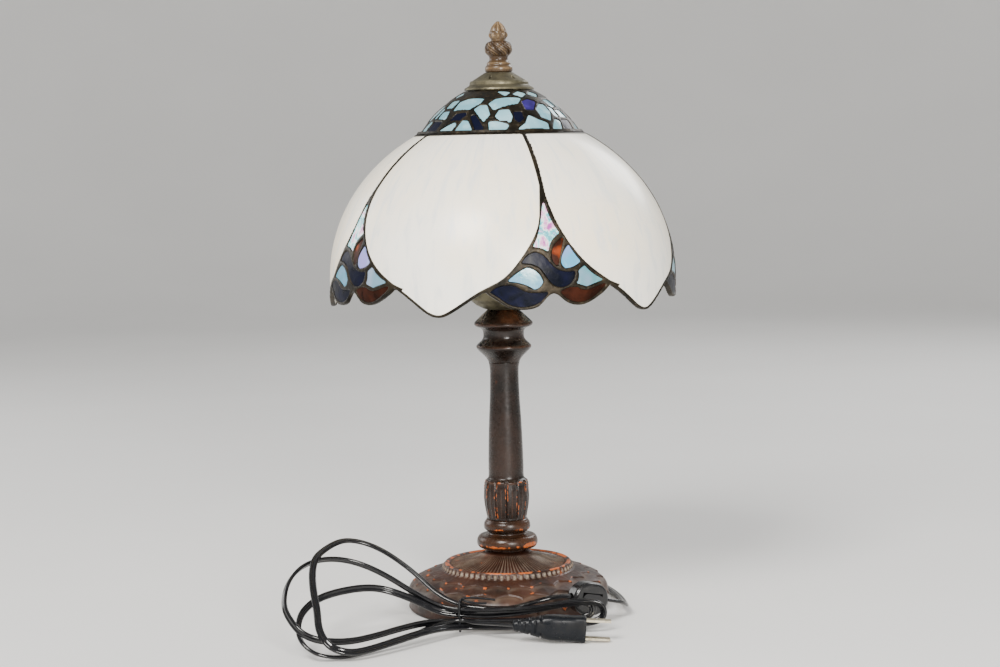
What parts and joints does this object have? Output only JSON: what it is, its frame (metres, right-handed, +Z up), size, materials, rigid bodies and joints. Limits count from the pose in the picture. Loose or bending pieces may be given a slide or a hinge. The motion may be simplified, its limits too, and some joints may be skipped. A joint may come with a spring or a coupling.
{
  "type": "table lamp",
  "caption": "Leaded-glass table lamp: flower-petal dome shade with pierced cap and finial on a turned bronze stem and beaded base, with a tied cord, inline rocker switch and plug.",
  "frame": {"origin": "centre of the base's underside, on the lamp's own vertical axis, where it stands", "axes": "+Z up along the stem, -Y towards the front, +X to the right seen from the front"},
  "size_m": [0.2825, 0.2957, 0.4317],
  "materials": {
    "white_glass": "opalescent leaded glass, milky white",
    "pale_glass": "iridescent pale blue glass",
    "blue_glass": "dark cobalt glass",
    "amber_glass": "dark amber brown glass",
    "clear_glass": "frosted bulb glass",
    "lead_came": "bronze-coloured solder, satin",
    "bronze": "dark antique bronze over a casting",
    "copper_bronze": "antique copper bronze",
    "aged_brass": "dull aged brass",
    "bright_brass": "bright brass",
    "steel": "zinc plated",
    "aluminium": "spun",
    "black_gloss": "glossy moulding",
    "black_matt": "matt moulding",
    "black_cord": "flat twin flex",
    "porcelain": "glazed",
    "felt": "felt"
  },
  "bodies": {
    "stand": {"base_casting": "bronze", "column_knop": "bronze", "column_shaft": "bronze", "column_capital": "bronze", "socket_cup": "aged_brass", "harp_saddle": "aged_brass", "harp_wire": "aged_brass", "harp_stud": "aged_brass", "socket_cap": "bright_brass", "socket_shell": "bright_brass", "screw_sleeve": "bright_brass", "centre_contact": "bright_brass", "base_nut": "steel", "base_washer": "steel", "threaded_rod": "steel", "cup_nut": "steel", "saddle_nut": "steel", "plug_blades": "steel", "switch_front_shell": "black_gloss", "switch_rear_shell": "black_gloss", "plug_body": "black_matt", "twist_tie": "black_matt", "cord_grommet": "black_matt", "cord_lead_in": "black_cord", "cord_switch_link": "black_cord", "cord_plug_tail": "black_cord", "cord_hank": "black_cord", "socket_insulator": "porcelain", "base_felt": "felt"},
    "shade": {"petal_glass_1": "white_glass", "petal_glass_2": "white_glass", "petal_glass_3": "white_glass", "petal_glass_4": "white_glass", "petal_glass_5": "white_glass", "glass_light_kite": "pale_glass", "glass_light_left_leaf": "pale_glass", "glass_light_teardrop": "pale_glass", "glass_light_triangle": "pale_glass", "crown_glass_light_lower": "pale_glass", "crown_glass_light_middle": "pale_glass", "crown_glass_light_upper": "pale_glass", "glass_blue_crescent": "blue_glass", "glass_blue_s_leaf": "blue_glass", "crown_glass_blue": "blue_glass", "glass_brown_crescent": "amber_glass", "glass_brown_feather": "amber_glass", "lead_came_dome": "lead_came", "lead_came_crown": "lead_came", "crown_ring": "aged_brass", "heat_cap": "aged_brass"},
    "finial": {"finial": "copper_bronze"},
    "bulb": {"bulb_glass": "clear_glass", "bulb_filament": "steel", "bulb_screw_cap": "aluminium", "bulb_contact": "steel"},
    "switch_rocker": {"switch_rocker": "black_gloss"},
    "ferrule_left": {"harp_ferrule_left": "aged_brass"},
    "ferrule_right": {"harp_ferrule_right": "aged_brass"}
  },
  "joints": [
    {"name": "shade_turn", "type": "hinge", "parent": "stand", "child": "shade", "pos_m": [0, 0, 0.3812], "axis": [0, 0, 1], "continuous": true},
    {"name": "finial_turn", "type": "hinge", "parent": "stand", "child": "finial", "pos_m": [0, 0, 0.3947], "axis": [0, 0, 1], "continuous": true},
    {"name": "bulb_turn", "type": "hinge", "parent": "stand", "child": "bulb", "pos_m": [0, 0, 0.262], "axis": [0, 0, 1], "range_deg": [0, 900]},
    {"name": "rocker_tilt", "type": "hinge", "parent": "stand", "child": "switch_rocker", "pos_m": [0.05875, -0.0709, 0.019], "axis": [0.1801, 0.104, 0.9781], "range_deg": [0, 14]},
    {"name": "ferrule_left_lift", "type": "slide", "parent": "stand", "child": "ferrule_left", "axis": [0, 0, 1], "range_m": [0, 0.01]},
    {"name": "ferrule_right_lift", "type": "slide", "parent": "stand", "child": "ferrule_right", "axis": [0, 0, 1], "range_m": [0, 0.01]}
  ]
}
